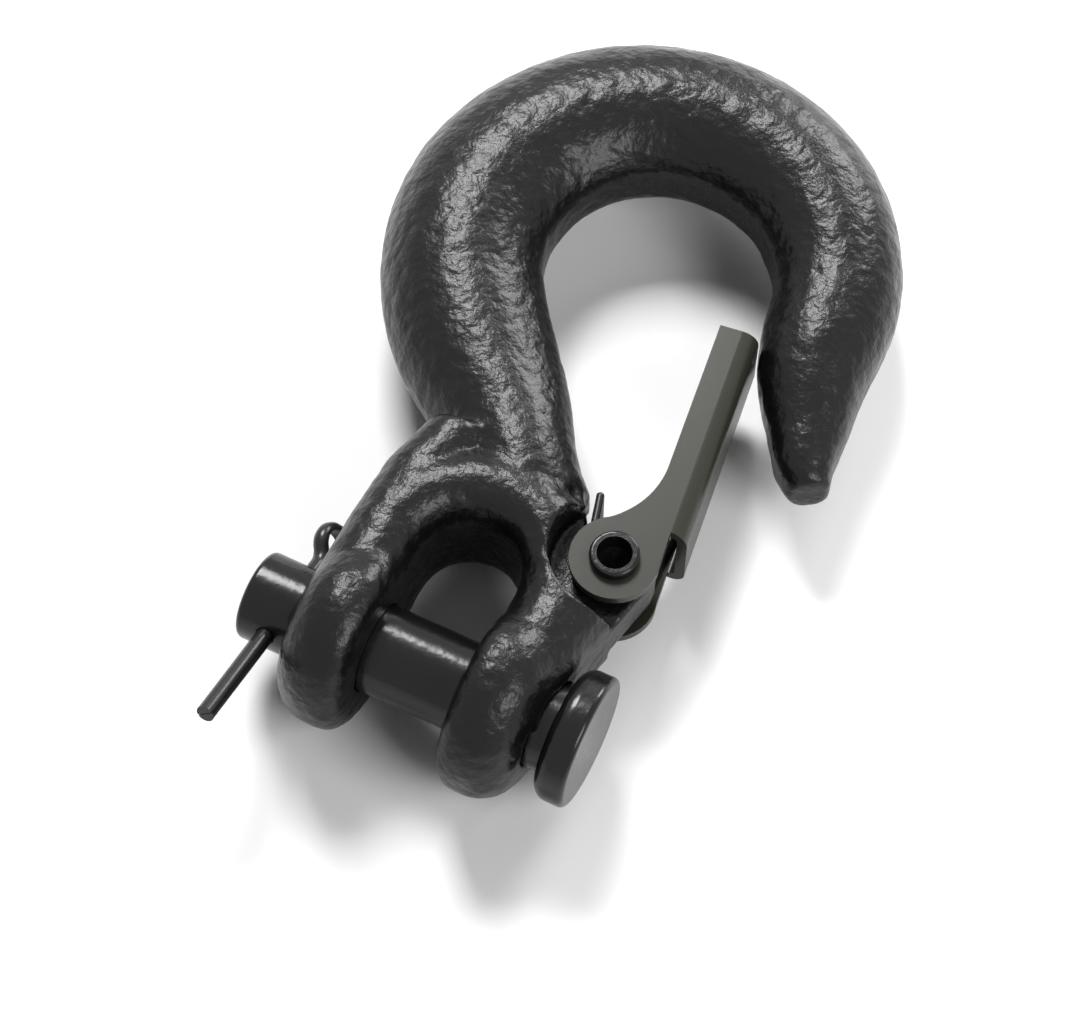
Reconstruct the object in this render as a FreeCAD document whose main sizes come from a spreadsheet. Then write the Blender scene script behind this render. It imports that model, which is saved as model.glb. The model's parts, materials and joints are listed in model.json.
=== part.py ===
"""Safety chain hook: a forged clevis slip hook with a clevis pin, a split pin and a sprung sheet-metal latch.

Frame, in millimetres: the origin is the middle of the clevis pin, +X runs along the pin towards its head,
+Y runs along the load line towards the bowl of the hook, and +Z is square to the plane of the hook.
"""
import FreeCAD, Part
import math
import os

import Sketcher

V = FreeCAD.Vector
Z_AXIS = V(0, 0, 1)

# Driving dimensions, each a cell of the sheet.
SIZES = {
    # bowl of the hook, seen square on
    "throat_radius": 12.5,          # inner radius of the bowl
    "throat_x": 1.9,                # centre of the bowl
    "throat_y": 52.1,
    "outer_radius": 28.4,           # outer radius of the bowl
    "outer_shift_x": -2.4,          # outer circle's centre from the inner circle's
    "outer_shift_y": 0.9,
    "bowl_height": 15.0,            # thickness across the hook's plane
    "bowl_end_height": 13.6,        # the same where the tip begins
    "land_height": 4.8,             # flat trimmed band round the inside of the bowl
    "seam_height": 1.4,             # trimmed seam of the forging round its outside
    # tip
    "tip_arc_radius": 34.0,         # curve of the tip's inner edge
    "tip_start_angle": 14.0,
    "tip_end_angle": 50.0,
    "tip_root_turn": 8.0,           # lean of its sections, in degrees
    "tip_end_turn": 30.0,
    "tip_root_width": 13.5,
    "tip_end_width": 4.2,
    "tip_end_height": 5.4,
    "tip_end_land": 1.8,
    # shank
    "shank_angle": 36.9,            # lean of the shank's inner edge from the bowl
    "shank_width": 17.0,
    "shank_foot_width": 14.0,
    "shank_height": 14.4,
    "shank_foot": 25.5,             # distance down the inner edge to the shank's foot
    # clevis
    "slot_width": 10.8,
    "slot_arch": 10.0,              # height of the arch's centre over the pin
    "slot_land": 8.0,               # height of the smooth wall round the slot
    "leg_width": 8.0,
    "leg_height": 17.0,
    "leg_foot": 3.0,                # how far below the pin's middle the legs run inside the ears
    "leg_seam": 4.0,                # flat of the legs' outer sides
    "ear_radius": 10.0,
    "ear_outer_round": 4.6,
    "ear_inner_round": 2.4,
    "shoulder_y": 24.5,             # where the left leg meets the shank
    "shoulder_width": 6.4,
    "flank_foot_x": 14.4,           # flat trimmed wall below the latch
    "flank_foot_y": 3.0,
    "flank_height": 8.0,
    # clevis pin
    "pin_diameter": 9.5,
    "pin_clearance": 0.08,          # radial, in the ears
    "pin_head_diameter": 14.2,
    "pin_head_height": 3.6,
    "pin_head_gap": 1.8,            # head to ear
    "pin_tail": 6.0,                # tail beyond the other ear
    "pin_head_round": 1.6,
    "pin_edge_round": 0.6,
    "pin_turn": -20.0,              # how far the pin is turned at rest, degrees
    # split pin
    "cotter_diameter": 1.9,
    "cotter_slit": 0.1,
    "cotter_clearance": 0.1,        # radial, in the clevis pin
    "cotter_gap": 1.5,              # split pin's side to the ear
    "cotter_leg": 17.0,             # legs below the middle of the clevis pin
    "cotter_neck": 7.0,             # straight part above it
    "cotter_neck_radius": 2.4,
    "cotter_eye_radius": 1.7,
    "cotter_turn": 50.0,            # how far the eye is turned about its legs, degrees
    # latch and its pivot
    "pivot_x": 12.9,
    "pivot_y": 17.5,
    "lug_radius": 4.2,
    "lug_height": 5.0,
    "recess_radius": 6.8,
    "rivet_diameter": 4.0,
    "rivet_clearance": 0.06,        # radial, in the lug
    "rivet_flare_diameter": 5.2,
    "rivet_flare_height": 1.1,
    "rivet_hollow_diameter": 3.7,
    "rivet_hollow_depth": 1.9,
    "rivet_head_diameter": 6.6,
    "rivet_head_height": 1.2,
    "sheet": 1.1,                   # sheet metal of the latch
    "latch_height": 10.4,           # over both cheeks
    "latch_bend": 1.9,              # outer radius of the bends
    "latch_ear_radius": 4.65,
    "latch_width": 4.4,             # across a cheek at its end
    "latch_gap": 0.25,              # latch's back to the tip
    "latch_lean": 7.2,              # lean of the latch's back, degrees
    "latch_end_y": 47.7,
    "latch_back_foot_y": 22.6,
    "latch_throat_radius": 9.3,
    "latch_throat_y": 29.5,
    # spring
    "wire": 0.9,
    "coil_radius": 2.8,             # to the middle of the wire
    "bail_gap": 0.3,                # bail to the shank's inner edge
    "bail_distance": 26.2,          # down the shank's inner edge
    "spring_leg": 12.5,
}

doc = FreeCAD.newDocument("safety_chain_hook")
sheet = doc.addObject("Spreadsheet::Sheet", "size")


def fill_sheet():
    """Writes every driving dimension and its alias."""
    for row, (alias, value) in enumerate(SIZES.items(), start=1):
        sheet.set(f"A{row}", alias)
        sheet.set(f"B{row}", str(value))
        sheet.setAlias(f"B{row}", alias)
    doc.recompute()


def cell(formula):
    """The formula with each alias written as a reference to its cell."""
    out = formula
    for alias in sorted(SIZES, key=len, reverse=True):
        out = out.replace(f"<{alias}>", f"size.{alias}")
    return out


def value(formula):
    """The number a formula gives now."""
    result = sheet.evalExpression(cell(formula))
    return float(getattr(result, "Value", result))


# Sizes that follow from the driving ones, as formulas.
SLOT = "<slot_width> / 2"
EAR_FACE = "(<slot_width> / 2 + <leg_width>)"
TURN = "(180 + <shank_angle>)"
SHANK_TOP_X = f"(<throat_x> + <throat_radius> * cos({TURN} * 1 deg))"
SHANK_TOP_Y = f"(<throat_y> + <throat_radius> * sin({TURN} * 1 deg))"
SHANK_X = "sin(<shank_angle> * 1 deg)"
SHANK_Y = "cos(<shank_angle> * 1 deg)"
COTTER_X = f"-({EAR_FACE} + <cotter_gap> + <cotter_diameter> / 2)"
PIVOT_X = "<pivot_x>"
LATCH_SIN = "(sin(<tip_start_angle> * 1 deg) + (<throat_y> - <latch_end_y>) / <tip_arc_radius>)"
LATCH_END_X = (f"(<throat_x> + <throat_radius> - <latch_gap> + <tip_arc_radius>"
               f" * (cos(<tip_start_angle> * 1 deg) - sqrt(1 - {LATCH_SIN} ^ 2)))")


def plane(body, role):
    """One of the body's own origin planes."""
    return next(f for f in body.Origin.OriginFeatures if f.Role == role)


def new_body(label):
    """An empty PartDesign body with its own label."""
    body = doc.addObject("PartDesign::Body", label)
    body.Label = label
    return body


def new_sketch(body, name, role, base=("0", "0", "0"), turn=None):
    """A sketch on an origin plane, moved by base and turned about its own vertical, all in the plane's axes."""
    sketch = body.newObject("Sketcher::SketchObject", name)
    sketch.AttachmentSupport = [(plane(body, role), "")]
    sketch.MapMode = "FlatFace"
    start = V(*(value(f) for f in base))
    spin = FreeCAD.Rotation(V(0, 1, 0), value(turn)) if turn else FreeCAD.Rotation()
    sketch.AttachmentOffset = FreeCAD.Placement(start, spin)
    for axis, formula in zip("xyz", base):
        if formula != "0":
            sketch.setExpression(f"AttachmentOffset.Base.{axis}", cell(formula))
    if turn:
        sketch.setExpression("AttachmentOffset.Rotation.Angle", f"({cell(turn)}) * 1 deg")
    return sketch


def bind(sketch, constraint, formula):
    """Adds a constraint whose size is a formula of the sheet."""
    index = sketch.addConstraint(constraint)
    sketch.setExpression(f"Constraints[{index}]", f"({cell(formula)}) * 1 mm")


def arc_through(start, end, radius, side):
    """The short arc from start to end, its centre on the left of the way for side 1 and on the right for -1."""
    chord = end - start
    half = chord.Length / 2
    normal = V(-chord.y, chord.x, 0).normalize()
    middle = (start + end) * 0.5
    centre = middle + normal * (side * math.sqrt(radius ** 2 - half ** 2))
    crown = centre + (middle - centre).normalize() * radius
    return Part.Arc(start, crown, end)


def outline(sketch, corners):
    """A closed outline: each corner is (x, y) or, where an arc leaves it, (x, y, radius, side), as formulas."""
    spots = [V(value(c[0]), value(c[1]), 0) for c in corners]
    edges = []
    for index, corner in enumerate(corners):
        start, end = spots[index], spots[(index + 1) % len(spots)]
        if len(corner) == 2:
            edges.append(sketch.addGeometry(Part.LineSegment(start, end)))
            continue
        edges.append(sketch.addGeometry(arc_through(start, end, value(corner[2]), corner[3])))
    tips = []
    for edge, index in zip(edges, range(len(spots))):
        first = sketch.getPoint(edge, 1)
        tips.append((1, 2) if (first - spots[index]).Length < 1e-6 else (2, 1))
    for index, corner in enumerate(corners):
        following = (index + 1) % len(spots)
        sketch.addConstraint(Sketcher.Constraint("Coincident", edges[index], tips[index][1],
                                                 edges[following], tips[following][0]))
        for kind, formula, number in (("DistanceX", corner[0], spots[index].x),
                                      ("DistanceY", corner[1], spots[index].y)):
            bind(sketch, Sketcher.Constraint(kind, -1, 1, edges[index], tips[index][0], number), formula)
        if len(corner) > 2:
            radius = Sketcher.Constraint("Radius", edges[index], value(corner[2]))
            bind(sketch, radius, corner[2])


def circle(sketch, x, y, diameter):
    """A circle whose centre and diameter are formulas."""
    centre = V(value(x), value(y), 0)
    index = sketch.addGeometry(Part.Circle(centre, Z_AXIS, value(diameter) / 2))
    bind(sketch, Sketcher.Constraint("DistanceX", -1, 1, index, 3, centre.x), x)
    bind(sketch, Sketcher.Constraint("DistanceY", -1, 1, index, 3, centre.y), y)
    bind(sketch, Sketcher.Constraint("Diameter", index, value(diameter)), diameter)


def rib(sketch, width, height, inner_land, outer_land, inset="0"):
    """A forged section: flat bands at its two sides, and two arcs that meet level at the crest between them."""
    crest = f"({width}) / 2"
    arc_in = f"((({crest}) ^ 2 + (({height} - ({inner_land})) / 2) ^ 2) / ({height} - ({inner_land})))"
    arc_out = f"((({crest}) ^ 2 + (({height} - ({outer_land})) / 2) ^ 2) / ({height} - ({outer_land})))"
    inner, middle, outer = f"{inset}", f"{inset} + {crest}", f"{inset} + {width}"
    outline(sketch, [
        (inner, f"({inner_land}) / 2", arc_in, -1),
        (middle, f"({height}) / 2", arc_out, -1),
        (outer, f"({outer_land}) / 2"),
        (outer, f"-({outer_land}) / 2", arc_out, -1),
        (middle, f"-({height}) / 2", arc_in, -1),
        (inner, f"-({inner_land}) / 2"),
    ])


def station(body, name, x, y, turn, width, height, inner_land, outer_land):
    """A rib section standing square to the hook's plane, from (x, y) outward in the direction turn."""
    sketch = new_sketch(body, name, "XZ_Plane", (x, "0", f"-({y})"), turn)
    rib(sketch, width, height, inner_land, outer_land)
    return sketch


def loft(body, name, sketches, ruled=False):
    """A loft through the sketches, smooth, or ruled straight from each to the next."""
    feature = body.newObject("PartDesign::AdditiveLoft", name)
    feature.Profile = sketches[0]
    feature.Sections = sketches[1:]
    feature.Ruled = ruled
    doc.recompute()
    return feature


def pad(body, name, sketch, length, both=False, back=False):
    """A pad of the sketch, to both sides of it or to one."""
    feature = body.newObject("PartDesign::Pad", name)
    feature.Profile = sketch
    feature.Length = value(length)
    feature.setExpression("Length", f"({cell(length)}) * 1 mm")
    feature.Midplane = both
    feature.Reversed = back
    doc.recompute()
    return feature


def cut(body, name, sketch, both=True, back=False):
    """A pocket right through, to both sides of the sketch or to one. It has to take something away."""
    before = body.Shape.Volume
    feature = body.newObject("PartDesign::Pocket", name)
    feature.Profile = sketch
    feature.Type = "ThroughAll"
    feature.Midplane = both
    feature.Reversed = back
    doc.recompute()
    if not body.Shape.Volume < before - 1e-3:
        raise ValueError(f"{name} took nothing away")
    return feature


def revolve(body, name, sketch, axis, angle=360.0, back=False):
    """The sketch turned about one of its own axes."""
    feature = body.newObject("PartDesign::Revolution", name)
    feature.Profile = sketch
    feature.ReferenceAxis = (sketch, [axis])
    feature.Angle = angle
    feature.Reversed = back
    doc.recompute()
    return feature


def bowl_width(angle):
    """How thick the bowl is in the hook's plane at an angle round it."""
    turn = f"({angle}) * 1 deg"
    along = f"(<outer_shift_x> * cos({turn}) + <outer_shift_y> * sin({turn}))"
    across = f"(<outer_shift_x> * sin({turn}) - <outer_shift_y> * cos({turn}))"
    return f"({along} + sqrt(<outer_radius> ^ 2 - {across} ^ 2) - <throat_radius>)"


def shank_station(body, name, distance, width):
    """A section of the shank, a distance down its inner edge."""
    x = f"{SHANK_TOP_X} + {distance} * {SHANK_X}"
    y = f"{SHANK_TOP_Y} - {distance} * {SHANK_Y}"
    return station(body, name, x, y, TURN, width, "<shank_height>", "<land_height>", "<seam_height>")


def bowl_station(body, name, angle, thinning):
    """A section of the bowl at an angle round it; thinning runs from 0 to 1 where the tip begins."""
    turn = f"{angle} * 1 deg"
    x = f"<throat_x> + <throat_radius> * cos({turn})"
    y = f"<throat_y> + <throat_radius> * sin({turn})"
    height = f"(<bowl_height> + ({thinning}) * (<bowl_end_height> - <bowl_height>))"
    return station(body, name, x, y, str(angle), bowl_width(angle), height, "<land_height>", "<seam_height>")


def tip_station(body, name, share):
    """A section of the tip, a share of the way along the curve of its inner edge."""
    lean = f"((<tip_start_angle> + {share} * (<tip_end_angle> - <tip_start_angle>)) * 1 deg)"
    x = f"<throat_x> + <throat_radius> + <tip_arc_radius> * (cos(<tip_start_angle> * 1 deg) - cos{lean})"
    y = f"<throat_y> - <tip_arc_radius> * (sin{lean} - sin(<tip_start_angle> * 1 deg))"
    turn = f"<tip_root_turn> + {share} * (<tip_end_turn> - <tip_root_turn>)"
    taper = f"({0.58 * share + 0.42 * share ** 2})"
    width = f"(<tip_root_width> + {taper} * (<tip_end_width> - <tip_root_width>))"
    height = f"(<bowl_end_height> + ({share ** 1.5}) * (<tip_end_height> - <bowl_end_height>))"
    land = f"(<land_height> + ({share}) * (<tip_end_land> - <land_height>))"
    return station(body, name, x, y, turn, width, height, land, "<seam_height>")


def make_hook_curve(body):
    """Shank, bowl and tip, one loft from the clevis round to the point."""
    sections = [shank_station(body, "ShankFoot", "<shank_foot>", "<shank_foot_width>"),
                shank_station(body, "ShankMiddle", "0.6 * <shank_foot>", "<shank_foot_width>"),
                shank_station(body, "ShankTop", "0.22 * <shank_foot>", "<shank_width>")]
    for angle in (200, 176, 152, 128, 104, 80, 56):
        sections.append(bowl_station(body, f"Bowl{angle}", angle, 0))
    sections.append(bowl_station(body, "Bowl34", 34, 0.5))
    sections.append(bowl_station(body, "Bowl14", 14, 1))
    for share in (0.1, 0.4, 0.7, 1):
        sections.append(tip_station(body, f"Tip{round(share * 100)}", share))
    loft(body, "HookCurve", sections)


def make_clevis(body):
    """Two legs, the arch between them and the two ears round the pin."""
    land = "<slot_land>"
    left = [("-<leg_foot>", SLOT, "<leg_width>", "<leg_height>"),
            ("<slot_arch>", SLOT, "<leg_width>", "<leg_height> - 1"),
            ("0.45 * <slot_arch> + 0.55 * <shoulder_y>", f"{SLOT} - 0.2", "<leg_width> - 0.1", "<leg_height> - 2"),
            ("<shoulder_y>", f"{SLOT} - 0.9", "<shoulder_width>", "<shank_height>")]
    loft(body, "LeftLeg", [
        station(body, f"LeftLeg{index}", f"-({x})", y, "180", width, height, land, "<leg_seam>")
        for index, (y, x, width, height) in enumerate(left)], ruled=True)
    right = [("-<leg_foot>", "<leg_width>", "<leg_height>", "<leg_seam>"),
             ("<flank_foot_y> + 2", "<flank_foot_x> + 0.1 - <slot_width> / 2", "<leg_height> - 0.4", "<flank_height>"),
             ("<slot_arch> + 2", "<flank_foot_x> + 1 - <slot_width> / 2", "<leg_height> - 1.4", "<flank_height>"),
             ("<pivot_y> + 1.5", "<pivot_x> + <lug_radius> - <slot_width> / 2", "<shank_height>", "<flank_height>")]
    loft(body, "RightLeg", [
        station(body, f"RightLeg{index}", SLOT, y, "0.001", width, height, land, seam)
        for index, (y, width, height, seam) in enumerate(right)], ruled=True)
    arch = new_sketch(body, "ArchSection", "XZ_Plane", ("0", "0", "-<slot_arch>"))
    rib(arch, "<leg_width>", "<leg_height> - 1.2", land, "<leg_seam>", SLOT)
    revolve(body, "Arch", arch, "V_Axis", 180.0)
    for side, name in ((1, "RightEar"), (-1, "LeftEar")):
        profile = new_sketch(body, f"{name}Profile", "XY_Plane")
        face, back = f"{side} * {SLOT}", f"{side} * {EAR_FACE}"
        outline(profile, [
            (face, "0"),
            (face, "<ear_radius> - <ear_inner_round>", "<ear_inner_round>", -side),
            (f"{side} * ({SLOT} + <ear_inner_round>)", "<ear_radius>"),
            (f"{side} * ({EAR_FACE} - <ear_outer_round>)", "<ear_radius>", "<ear_outer_round>", -side),
            (back, "<ear_radius> - <ear_outer_round>"),
            (back, "0"),
        ])
        revolve(body, name, profile, "H_Axis")


def make_lug(body):
    """The lug that carries the latch, thinned round its pivot so that the spring and the cheeks fit."""
    profile = new_sketch(body, "LugProfile", "XY_Plane")
    outline(profile, [
        ("<slot_width> / 2 + 1.6", "<flank_foot_y> + 3"),
        ("<flank_foot_x> + 0.1", "<flank_foot_y> + 3"),
        ("<pivot_x> + <lug_radius>", "<pivot_y>", "<lug_radius>", 1),
        ("<pivot_x>", "<pivot_y> + <lug_radius>", "<lug_radius>", 1),
        ("<pivot_x> - 0.866 * <lug_radius>", "<pivot_y> + 0.5 * <lug_radius>"),
        ("<slot_width> / 2 + 1.2", "<shoulder_y> - 1"),
        ("<slot_width> / 2 - 2", "<shoulder_y> - 2"),
        ("<slot_width> / 2 + 1.6", "<slot_arch> + 5"),
    ])
    pad(body, "Lug", profile, "<flank_height>", both=True)
    for side, name in ((1, "RecessTop"), (-1, "RecessBottom")):
        around = new_sketch(body, f"{name}Circle", "XY_Plane", ("0", "0", f"{side} * <lug_height> / 2"))
        circle(around, "<pivot_x>", "<pivot_y>", "2 * <recess_radius>")
        cut(body, name, around, both=False, back=side > 0)


def make_hook_body():
    """The forging: hook, shank, clevis and latch lug in one piece, with its two bores."""
    body = new_body("hook_body")
    make_hook_curve(body)
    make_clevis(body)
    make_lug(body)
    bore = new_sketch(body, "PinBoreCircle", "YZ_Plane")
    circle(bore, "0", "0", "<pin_diameter> + 2 * <pin_clearance>")
    cut(body, "PinBore", bore)
    pivot = new_sketch(body, "RivetBoreCircle", "XY_Plane")
    circle(pivot, "<pivot_x>", "<pivot_y>", "<rivet_diameter> + 2 * <rivet_clearance>")
    cut(body, "RivetBore", pivot)
    return body


def make_clevis_pin():
    """The round pin with its flat head and a cross hole for the split pin."""
    body = new_body("clevis_pin")
    profile = new_sketch(body, "PinProfile", "XY_Plane")
    tail, neck = f"-({EAR_FACE} + <pin_tail>)", f"({EAR_FACE} + <pin_head_gap>)"
    crown = f"({neck} + <pin_head_height>)"
    radius, head = "<pin_diameter> / 2", "<pin_head_diameter> / 2"
    outline(profile, [
        (tail, "0"),
        (tail, f"{radius} - <pin_edge_round>", "<pin_edge_round>", -1),
        (f"{tail} + <pin_edge_round>", radius),
        (neck, radius),
        (neck, f"{head} - <pin_head_round>", "<pin_head_round>", -1),
        (f"{neck} + <pin_head_round>", head),
        (f"{crown} - <pin_edge_round>", head, "<pin_edge_round>", -1),
        (crown, f"{head} - <pin_edge_round>"),
        (crown, "0"),
    ])
    revolve(body, "Pin", profile, "H_Axis")
    hole = new_sketch(body, "CrossHoleCircle", "XZ_Plane")
    circle(hole, COTTER_X, "0", "<cotter_diameter> + 2 * <cotter_clearance>")
    cut(body, "CrossHole", hole)
    body.Placement = FreeCAD.Placement(V(0, 0, 0), V(1, 0, 0), value("<pin_turn>"))
    return body


def make_cotter_pin():
    """The split pin: half-round wire doubled back on itself, with a round eye."""
    body = new_body("cotter_pin")
    path = new_sketch(body, "WirePath", "XY_Plane")
    line = value("<cotter_slit> / 2")
    neck, eye = value("<cotter_neck_radius>"), value("<cotter_eye_radius>")
    rise = math.sqrt((neck + eye) ** 2 - (line + neck) ** 2)
    foot, root = -value("<cotter_leg>"), value("<cotter_neck>")
    middle = V(0, root + rise, 0)
    pieces = [Part.LineSegment(V(line, foot, 0), V(line, root, 0))]
    for side in (1, -1):
        bend = V(side * (line + neck), root, 0)
        touch = bend + (middle - bend).normalize() * neck
        halfway = (touch + V(side * line, root, 0)) * 0.5
        crown = bend + (halfway - bend).normalize() * neck
        pieces.append(Part.Arc(V(side * line, root, 0), crown, touch))
        if side == 1:
            other = V(-touch.x, touch.y, 0)
            pieces.append(Part.Arc(touch, middle + V(0, eye, 0), other))
    pieces.append(Part.LineSegment(V(-line, root, 0), V(-line, foot, 0)))
    for piece in pieces:
        path.addConstraint(Sketcher.Constraint("Block", path.addGeometry(piece)))
    section = new_sketch(body, "HalfRound", "XZ_Plane", ("0", "0", "<cotter_leg>"))
    half = "<cotter_diameter> / 2"
    inner, outer = "<cotter_slit> / 2", "<cotter_diameter> / 2 * 0.999"
    outline(section, [
        (inner, f"-{half} * 0.995", half, 1),
        (outer, "0", half, 1),
        (inner, f"{half} * 0.995"),
    ])
    wire = body.newObject("PartDesign::AdditivePipe", "Wire")
    wire.Profile = section
    wire.Spine = path
    wire.Mode = "Frenet"
    doc.recompute()
    turn = FreeCAD.Rotation(V(1, 0, 0), value("<pin_turn>")) * FreeCAD.Rotation(V(0, 1, 0), value("<cotter_turn>"))
    body.Placement = FreeCAD.Placement(V(value(COTTER_X), 0, 0), turn)
    return body


def make_latch():
    """The sheet-metal latch: a channel whose two cheeks end in round ears on the pivot."""
    body = new_body("latch")
    lean = "<latch_lean> * 1 deg"
    channel = new_sketch(body, "ChannelSection", "XZ_Plane", (LATCH_END_X, "0", "-<latch_end_y>"), "<latch_lean>")
    top, depth = "<latch_height> / 2", "(<latch_width> + 3 * <latch_ear_radius>)"
    inside, bend = "(<latch_height> / 2 - <sheet>)", "(<latch_bend> - <sheet>)"
    outline(channel, [
        (f"-{depth}", top),
        ("-<latch_bend>", top, "<latch_bend>", -1),
        ("0", f"{top} - <latch_bend>"),
        ("0", f"<latch_bend> - {top}", "<latch_bend>", -1),
        ("-<latch_bend>", f"-{top}"),
        (f"-{depth}", f"-{top}"),
        (f"-{depth}", f"-{inside}"),
        ("-<latch_bend>", f"-{inside}", bend, 1),
        ("-<sheet>", f"-({inside} - {bend})"),
        ("-<sheet>", f"({inside} - {bend})", bend, 1),
        ("-<latch_bend>", inside),
        (f"-{depth}", inside),
    ])
    pad(body, "Channel", channel, "<latch_end_y> - <pivot_y> + 3 * <latch_ear_radius>")
    front_x, front_y = f"({LATCH_END_X} - <latch_width> * cos({lean}))", f"(<latch_end_y> - <latch_width> * sin({lean}))"
    throat_x = f"({front_x} + ({front_y} - <latch_throat_y>) * tan({lean}))"
    foot_x = f"({LATCH_END_X} + (<latch_end_y> - <latch_back_foot_y>) * tan({lean}))"
    ear = "<latch_ear_radius>"
    rim = "60"
    around = new_sketch(body, "CheekOutline", "XY_Plane")
    outline(around, [(f"-{rim}", f"-{rim}"), (rim, f"-{rim}"), (rim, f"2 * {rim}"), (f"-{rim}", f"2 * {rim}")])
    outline(around, [
        (LATCH_END_X + " + 1", "<latch_end_y>"),
        (front_x, "<latch_end_y>"),
        (throat_x, "<latch_throat_y>", "<latch_throat_radius>", -1),
        (f"<pivot_x> + {ear} * cos(121 deg)", f"<pivot_y> + {ear} * sin(121 deg)", ear, 1),
        (f"<pivot_x> - {ear}", "<pivot_y>", ear, 1),
        ("<pivot_x>", f"<pivot_y> - {ear}", ear, 1),
        (f"<pivot_x> + {ear} * cos(16 deg)", f"<pivot_y> + {ear} * sin(16 deg)"),
        (f"{foot_x} - <latch_bend>", "<latch_back_foot_y>"),
        (f"{foot_x} + 1", "<latch_back_foot_y>"),
    ])
    cut(body, "Cheeks", around)
    hole = new_sketch(body, "LatchHoleCircle", "XY_Plane")
    circle(hole, "<pivot_x>", "<pivot_y>", "<rivet_diameter>")
    cut(body, "LatchHole", hole)
    return body


def make_latch_rivet():
    """The pivot rivet, flared and hollow at one end, headed at the other."""
    body = new_body("latch_rivet")
    profile = new_sketch(body, "RivetProfile", "XZ_Plane", (PIVOT_X, "0", "-<pivot_y>"))
    shank, flare, head = "<rivet_diameter> / 2", "<rivet_flare_diameter> / 2", "<rivet_head_diameter> / 2"
    hollow, cheek = "<rivet_hollow_diameter> / 2", "<latch_height> / 2"
    rim = f"({cheek} + <rivet_flare_height>)"
    base = f"({cheek} + <rivet_head_height>)"
    outline(profile, [
        ("0", f"-{base}"),
        (f"{head} - 0.8 * <rivet_head_height>", f"-{base}", "0.9 * <rivet_head_height>", 1),
        (head, f"-{cheek}"),
        (shank, f"-{cheek}"),
        (shank, cheek),
        (flare, cheek),
        (flare, f"{rim} - 0.35", "0.35", 1),
        (f"{flare} - 0.35", rim),
        (hollow, rim),
        (f"{hollow} - 0.25", f"{rim} - <rivet_hollow_depth>"),
        ("0", f"{rim} - <rivet_hollow_depth> - {hollow}"),
    ])
    revolve(body, "Rivet", profile, "V_Axis")
    return body


def make_latch_spring():
    """The double torsion spring: a coil at each side of the lug, a bail on the shank and a leg under the latch."""
    wire, coil = value("<wire> / 2"), value("<coil_radius>")
    pivot = V(value(PIVOT_X), value("<pivot_y>"), 0)
    level = value("(<latch_height> / 2 - <sheet> + <lug_height> / 2) / 2")
    out = value("<bail_gap> + <wire> / 2")
    bail = V(value(f"{SHANK_TOP_X} + <bail_distance> * {SHANK_X}") + out * value(SHANK_Y),
             value(f"{SHANK_TOP_Y} - <bail_distance> * {SHANK_Y}") + out * value(SHANK_X), 0)
    reach = bail - pivot
    lean = math.atan2(reach.y, reach.x) + math.acos(coil / reach.Length)
    touch = pivot + V(math.cos(lean), math.sin(lean), 0) * coil
    straight = 0.95 * wire
    solids = [Part.makeCylinder(straight, 2 * level, bail - V(0, 0, level), Z_AXIS)]
    for side in (1, -1):
        lift = V(0, 0, side * level)
        solids.append(Part.makeTorus(coil, wire, pivot + lift, Z_AXIS))
        solids.append(Part.makeSphere(straight, bail + lift))
        solids.append(Part.makeCylinder(straight, (bail - touch).Length, touch + lift, bail - touch))
        solids.append(Part.makeCylinder(straight, value("<spring_leg>"), pivot + V(coil, 0, 0) + lift, V(0, 1, 0)))
    spring = doc.addObject("Part::Feature", "latch_spring")
    spring.Label = "latch_spring"
    shape = solids[0]
    for solid in solids[1:]:
        shape = shape.fuse(solid)
    spring.Shape = shape
    return spring


def main():
    fill_sheet()
    made = [make_hook_body(), make_clevis_pin(), make_cotter_pin(), make_latch(), make_latch_rivet(),
            make_latch_spring()]
    doc.recompute()
    for item in doc.Objects:
        if {"Invalid", "Error"} & set(item.State):
            raise ValueError(f"{item.Label} failed: {item.State}")
    os.makedirs("parts", exist_ok=True)
    for item in made:
        shape = item.Shape
        if shape.isNull() or not shape.isValid() or len(shape.Solids) != 1:
            raise ValueError(f"{item.Label} isn't one valid solid")
        shape.exportStep(f"parts/{item.Label}.step")
        box = shape.BoundBox
        print(item.Label, round(shape.Volume, 1), [round(v, 2) for v in
              (box.XMin, box.YMin, box.ZMin, box.XMax, box.YMax, box.ZMax)])


main()
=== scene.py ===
"""Looks of the safety chain hook: finishes, floor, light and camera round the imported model."""
import json
import logging
import math
from dataclasses import dataclass

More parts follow.
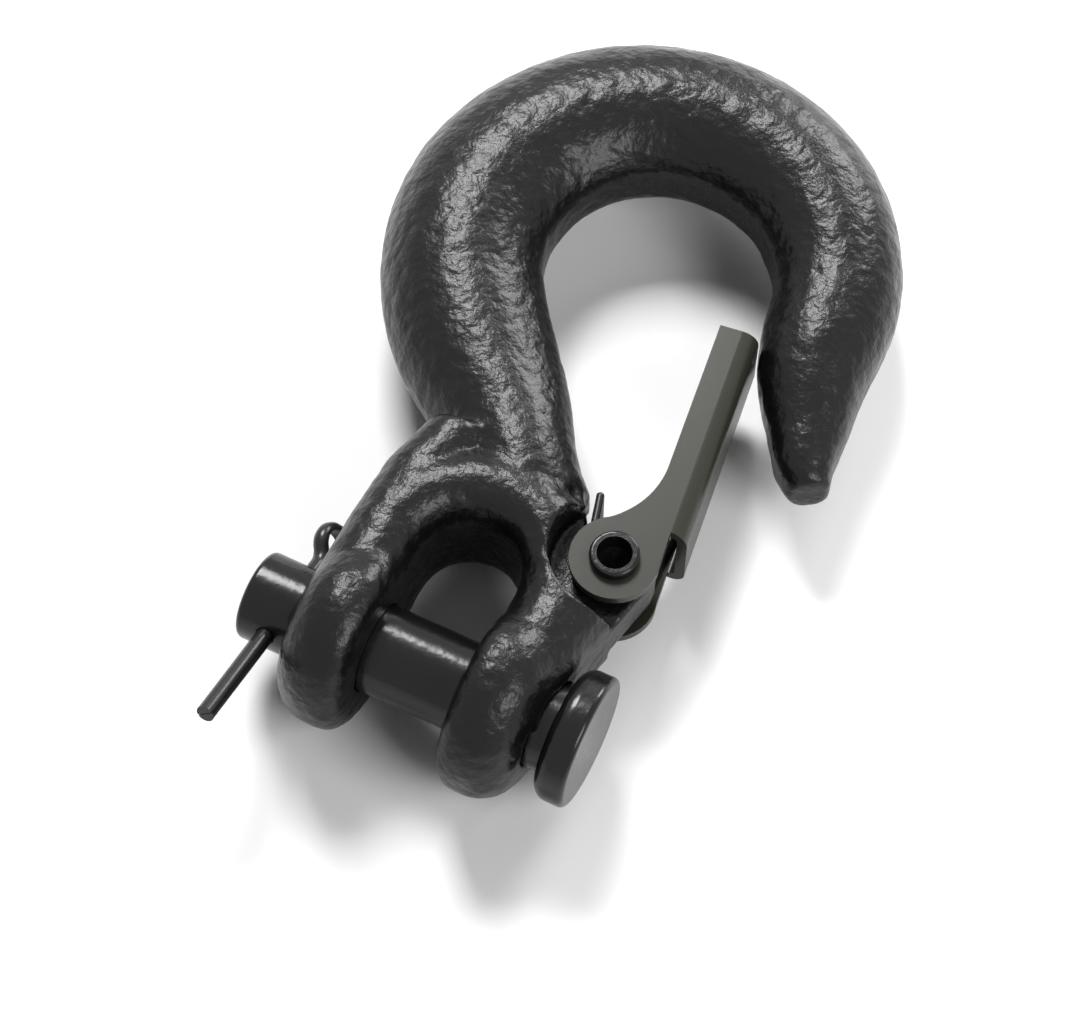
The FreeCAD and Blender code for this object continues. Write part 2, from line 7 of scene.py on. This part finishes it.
import bpy
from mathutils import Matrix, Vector

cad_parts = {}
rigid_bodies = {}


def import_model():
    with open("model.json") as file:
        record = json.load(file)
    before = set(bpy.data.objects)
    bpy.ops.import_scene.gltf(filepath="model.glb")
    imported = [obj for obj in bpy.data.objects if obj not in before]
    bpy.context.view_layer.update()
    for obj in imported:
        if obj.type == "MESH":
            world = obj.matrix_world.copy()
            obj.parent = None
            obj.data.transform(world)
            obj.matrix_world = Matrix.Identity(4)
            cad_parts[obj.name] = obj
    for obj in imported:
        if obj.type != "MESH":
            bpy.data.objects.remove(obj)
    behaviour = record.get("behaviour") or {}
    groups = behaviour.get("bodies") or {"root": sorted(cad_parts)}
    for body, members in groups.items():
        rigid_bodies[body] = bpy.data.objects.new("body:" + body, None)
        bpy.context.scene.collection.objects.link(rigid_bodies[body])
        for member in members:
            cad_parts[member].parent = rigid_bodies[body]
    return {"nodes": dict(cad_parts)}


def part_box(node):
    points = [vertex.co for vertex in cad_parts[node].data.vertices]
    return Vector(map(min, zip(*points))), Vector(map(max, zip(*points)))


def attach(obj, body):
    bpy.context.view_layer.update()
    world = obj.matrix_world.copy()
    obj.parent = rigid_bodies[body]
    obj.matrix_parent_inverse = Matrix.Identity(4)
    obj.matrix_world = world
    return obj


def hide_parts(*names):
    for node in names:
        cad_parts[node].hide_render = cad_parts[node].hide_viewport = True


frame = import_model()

logging.basicConfig(level=logging.INFO)
LOG = logging.getLogger("hook")
MM = 0.001
GRAIN_DETAIL = 6                 # octaves of the relief
VARNISH_ROUGHNESS = 0.12         # roughness of the gloss over a coat
ROUGH_FROM, ROUGH_TO = 0.8, 1.3  # how a coat's roughness varies, as shares of it


def linear(hex_colour: str) -> tuple[float, float, float, float]:
    """Turns an sRGB hex colour into linear RGBA.

    Args:
        hex_colour: six hex digits.

    Returns:
        The linear colour with full alpha.
    """
    channels = [int(hex_colour[i:i + 2], 16) / 255 for i in (0, 2, 4)]
    return (*(c / 12.92 if c <= 0.04045 else ((c + 0.055) / 1.055) ** 2.4
              for c in channels), 1.0)


def add(tree: bpy.types.NodeTree, kind: str, **settings: object) -> bpy.types.Node:
    """Adds a node and sets its properties.

    Args:
        tree: the material's node tree.
        kind: the node's type name, without its ShaderNode prefix.
        settings: properties of the node.

    Returns:
        The new node.
    """
    node = tree.nodes.new(f"ShaderNode{kind}")
    for name, value in settings.items():
        setattr(node, name, value)
    return node


@dataclass(frozen=True)
class Coat:
    """A black coat over steel, with the relief of the metal under it.

    Attributes:
        name: the material's name.
        colour: sRGB hex colour of the coat.
        roughness: roughness of the coat.
        grain: width of one grain of the relief, in metres.
        relief: height of the relief, in metres.
        clear: weight of the gloss over the coat.
        sheen: how strongly the coat itself mirrors, 0.5 for plain varnish.
    """

    name: str
    colour: str
    roughness: float
    grain: float
    relief: float
    clear: float
    sheen: float = 0.2

    def make(self) -> bpy.types.Material:
        """Builds the material.

        Returns:
            The material, its pattern in the object's own coordinates.
        """
        material = bpy.data.materials.new(self.name)
        material.use_nodes = True
        tree = material.node_tree
        shader = tree.nodes["Principled BSDF"]
        place = add(tree, "TexCoord")
        shader.inputs["Base Color"].default_value = linear(self.colour)
        shader.inputs["Coat Weight"].default_value = self.clear
        shader.inputs["Coat Roughness"].default_value = VARNISH_ROUGHNESS
        shader.inputs["Specular IOR Level"].default_value = self.sheen
        coarse = add(tree, "TexNoise")
        coarse.inputs["Scale"].default_value = 1 / self.grain
        coarse.inputs["Detail"].default_value = GRAIN_DETAIL
        tree.links.new(place.outputs["Object"], coarse.inputs["Vector"])
        rough = add(tree, "MapRange")
        rough.inputs["To Min"].default_value = self.roughness * ROUGH_FROM
        rough.inputs["To Max"].default_value = self.roughness * ROUGH_TO
        tree.links.new(coarse.outputs["Fac"], rough.inputs["Value"])
        tree.links.new(rough.outputs["Result"], shader.inputs["Roughness"])
        bump = add(tree, "Bump")
        bump.inputs["Strength"].default_value = 1
        bump.inputs["Distance"].default_value = self.relief
        tree.links.new(coarse.outputs["Fac"], bump.inputs["Height"])
        tree.links.new(bump.outputs["Normal"], shader.inputs["Normal"])
        tree.links.new(bump.outputs["Normal"], shader.inputs["Coat Normal"])
        return material


@dataclass(frozen=True)
class Lamp:
    """A square soft light that faces the object.

    Attributes:
        name: the light's name.
        place: its place, in metres.
        size: its side, in metres.
        power: its power, in watts.
    """

    name: str
    place: tuple[float, float, float]
    size: float
    power: float

    def light(self, aim: Vector) -> None:
        """Adds the light.

        Args:
            aim: the point it faces, in metres.
        """
        data = bpy.data.lights.new(self.name, "AREA")
        data.energy, data.size = self.power, self.size
        light = bpy.data.objects.new(self.name, data)
        light.location = self.place
        light.rotation_euler = (aim - Vector(self.place)).to_track_quat("-Z", "Y").to_euler()
        bpy.context.scene.collection.objects.link(light)


@dataclass(frozen=True)
class Studio:
    """Floor, soft lights and camera.

    Attributes:
        azimuth: the camera's angle round +Z, in degrees, from a view along +Y.
        elevation: its angle over the horizon, in degrees.
        distance: its distance from the point it looks at, in metres.
        aim: that point, in metres.
        lens: focal length in millimetres.
        sensor: that sensor's width, in millimetres.
        gloom: strength of the surroundings that light the object.
        floor_side: side of the floor, in metres.
        floor_colour: sRGB hex colour of the floor, a matt white laminate.
        floor_roughness: its roughness.
        lamps: the soft lights.
    """

    azimuth: float = 26
    elevation: float = 63
    distance: float = 0.3
    aim: tuple[float, float, float] = (0.0029, 0.0208, 0)
    lens: float = 96
    sensor: float = 36
    gloom: float = 0.12
    floor_side: float = 4
    floor_colour: str = "F4F4F4"
    floor_roughness: float = 0.6
    lamps: tuple[Lamp, ...] = (
        Lamp("key", (-0.25, 0.35, 0.5), 0.22, 5.0),
        Lamp("fill", (0.45, -0.1, 0.4), 0.3, 2.5),
        Lamp("back", (0.1, 0.6, 0.25), 0.25, 3.0),
    )

    def build(self, low: float) -> None:
        """Makes the floor, the lights and the camera.

        Args:
            low: height of the object's lowest point, in metres.
        """
        bpy.ops.mesh.primitive_plane_add(size=self.floor_side, location=(0, 0, low))
        floor = bpy.context.object
        floor.name = "floor"
        white = bpy.data.materials.new("white_table")
        white.use_nodes = True
        shader = white.node_tree.nodes["Principled BSDF"]
        shader.inputs["Base Color"].default_value = linear(self.floor_colour)
        shader.inputs["Roughness"].default_value = self.floor_roughness
        floor.data.materials.append(white)
        world = bpy.data.worlds.new("studio")
        bpy.context.scene.world = world
        world.use_nodes = True
        self.sky(world.node_tree)
        for lamp in self.lamps:
            lamp.light(Vector(self.aim))
        self.camera()

    def sky(self, tree: bpy.types.NodeTree) -> None:
        """Makes the surroundings white where they are seen and dim as a light.

        They are seen straight on, in a gloss and through glass.

        Args:
            tree: the world's node tree.
        """
        rays = add(tree, "LightPath")
        bright, dim = tree.nodes["Background"], add(tree, "Background")
        bright.inputs["Color"].default_value = linear("FFFFFF")
        bright.inputs["Strength"].default_value = 1
        dim.inputs["Color"].default_value = linear("FFFFFF")
        dim.inputs["Strength"].default_value = self.gloom
        mix = add(tree, "MixShader")
        seen = rays.outputs["Is Camera Ray"]
        for kind in ("Is Glossy Ray", "Is Transmission Ray"):
            either = add(tree, "Math", operation="MAXIMUM")
            tree.links.new(seen, either.inputs[0])
            tree.links.new(rays.outputs[kind], either.inputs[1])
            seen = either.outputs[0]
        tree.links.new(seen, mix.inputs["Fac"])
        tree.links.new(dim.outputs["Background"], mix.inputs[1])
        tree.links.new(bright.outputs["Background"], mix.inputs[2])
        tree.links.new(mix.outputs["Shader"], tree.nodes["World Output"].inputs["Surface"])

    def camera(self) -> None:
        """Adds the camera at its angle and aims it."""
        turn, rise = math.radians(self.azimuth), math.radians(self.elevation)
        back = Vector((
            math.sin(turn) * math.cos(rise), -math.cos(turn) * math.cos(rise), math.sin(rise)))
        data = bpy.data.cameras.new("camera")
        data.lens, data.sensor_width, data.clip_start = self.lens, self.sensor, 10 * MM
        camera = bpy.data.objects.new("camera", data)
        camera.location = Vector(self.aim) + back * self.distance
        camera.rotation_euler = (-back).to_track_quat("-Z", "Y").to_euler()
        bpy.context.scene.collection.objects.link(camera)
        bpy.context.scene.camera = camera


@dataclass
class Forging:
    """The forged body: the CAD node's shape with its joins blended and a rough skin.

    Attributes:
        voxel: size of the remesh, in metres.
        blend_steps: smoothing steps where the forging is left as forged.
        trim_steps: smoothing steps where it is machined or trimmed.
        merge: distance under which the copy's loose corners are joined, in metres.
        pin_reach: radius round the clevis pin that stays machined, in metres.
        pivot_reach: the same round the latch's rivet.
        fade: distance over which machined turns to forged, in metres.
        skin: depth of the rough skin, in metres.
        lump: width of its lumps, in metres.
        octaves: how many times its lumps are broken up.
    """

    voxel: float = 0.32 * MM
    blend_steps: int = 26
    trim_steps: int = 2
    merge: float = 0.001 * MM
    pin_reach: float = 5.6 * MM
    pivot_reach: float = 7.2 * MM
    fade: float = 1 * MM
    skin: float = 0.22 * MM
    lump: float = 2.2 * MM
    octaves: int = 3

    def build(self) -> bpy.types.Object:
        """Models the piece from a copy of the CAD node.

        Returns:
            The finished mesh object.
        """
        source = frame["nodes"]["hook_body"]
        piece = source.copy()
        piece.data = source.data.copy()
        piece.name = "forged_hook"
        bpy.context.scene.collection.objects.link(piece)
        piece.parent = None
        bpy.ops.object.select_all(action="DESELECT")
        bpy.context.view_layer.objects.active = piece
        piece.select_set(True)
        bpy.ops.object.mode_set(mode="EDIT")
        bpy.ops.mesh.select_all(action="SELECT")
        bpy.ops.mesh.remove_doubles(threshold=self.merge)
        bpy.ops.object.mode_set(mode="OBJECT")
        remesh = piece.modifiers.new("remesh", "REMESH")
        remesh.mode, remesh.voxel_size = "VOXEL", self.voxel
        bpy.ops.object.modifier_apply(modifier=remesh.name)
        self.mark(piece)
        self.smooth(piece, "trim", self.trim_steps, True)
        self.smooth(piece, "blend", self.blend_steps, False)
        clouds = bpy.data.textures.new("forged_skin", "CLOUDS")
        clouds.noise_scale, clouds.noise_depth = self.lump, self.octaves
        displace = piece.modifiers.new("skin", "DISPLACE")
        displace.texture, displace.strength, displace.mid_level = clouds, self.skin, 0.5
        displace.vertex_group = "as_forged"
        bpy.ops.object.modifier_apply(modifier=displace.name)
        bpy.ops.object.shade_smooth()
        return piece

    def smooth(self, piece: bpy.types.Object, name: str, steps: int, machined: bool) -> None:
        """Smooths one of the two kinds of surface.

        Args:
            piece: the remeshed forging, its surfaces marked.
            name: the name of the step.
            steps: how often it is smoothed.
            machined: smooths the machined surfaces instead of the forged ones.
        """
        smooth = piece.modifiers.new(name, "SMOOTH")
        smooth.factor, smooth.iterations = 0.5, steps
        smooth.vertex_group, smooth.invert_vertex_group = "as_forged", machined
        bpy.ops.object.modifier_apply(modifier=smooth.name)

    def mark(self, piece: bpy.types.Object) -> None:
        """Weights each vertex by how far it is from the clevis pin's bore and the latch rivet's
        bore.

        Args:
            piece: the remeshed forging.
        """
        group = piece.vertex_groups.new(name="as_forged")
        pivot = sum((Vector(corner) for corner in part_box("latch_rivet")), Vector()) / 2
        for vertex in piece.data.vertices:
            place = vertex.co
            from_pin = math.hypot(place.y, place.z) - self.pin_reach
            from_pivot = math.hypot(place.x - pivot.x, place.y - pivot.y) - self.pivot_reach
            share = min(1.0, max(0.0, min(from_pin, from_pivot) / self.fade))
            group.add([vertex.index], share, "REPLACE")

    def dress(self, piece: bpy.types.Object, finish: Coat) -> None:
        """Gives the piece its material and its place in the moving model.

        Args:
            piece: the finished mesh object.
            finish: the finish of the forging.
        """
        piece.data.materials.clear()
        piece.data.materials.append(finish.make())
        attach(piece, "hook")
        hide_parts("hook_body")


# Drop-forged steel under baked black enamel: pitted skin, broken highlights.
FORGED = Coat("black_coat_on_forging", "0B0B0C", 0.3, 1.4 * MM, 0.25 * MM, 0.12)
# Turned steel under the same enamel: smooth, with long clean highlights.
TURNED = Coat("black_coat_on_turned_steel", "0D0D0E", 0.22, 0.8 * MM, 0.03 * MM, 0.15)
# Pressed sheet steel under thin black paint, its colour lightened and tinted olive as a painted
# reflection: flat faces, soft sheen.
PRESSED = Coat("black_coat_on_pressed_sheet_with_painted_reflection", "26261F", 0.34, 0.3 * MM, 0.004 * MM, 0.2)
# Drawn steel wire, blackened: fine even surface.
WIRE = Coat("black_oxide_on_wire", "1B1B1C", 0.3, 0.2 * MM, 0.004 * MM, 0.2)
FINISHES = {
    "clevis_pin": TURNED, "cotter_pin": WIRE,
    "latch": PRESSED, "latch_rivet": TURNED, "latch_spring": WIRE,
}


def main() -> None:
    """Dresses each piece and sets the stage."""
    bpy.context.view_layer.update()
    made: dict[str, bpy.types.Material] = {}
    for node, finish in FINISHES.items():
        if finish.name not in made:
            made[finish.name] = finish.make()
        piece = frame["nodes"][node]
        piece.data.materials.clear()
        piece.data.materials.append(made[finish.name])
        LOG.info("%s: %s", node, finish.name)
    forging = Forging()
    forging.dress(forging.build(), FORGED)
    LOG.info("hook_body: %s", FORGED.name)
    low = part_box("hook_body")[0][2]
    Studio().build(low)
    bpy.context.scene.view_settings.view_transform = "Standard"


if __name__ == "__main__":
    main()
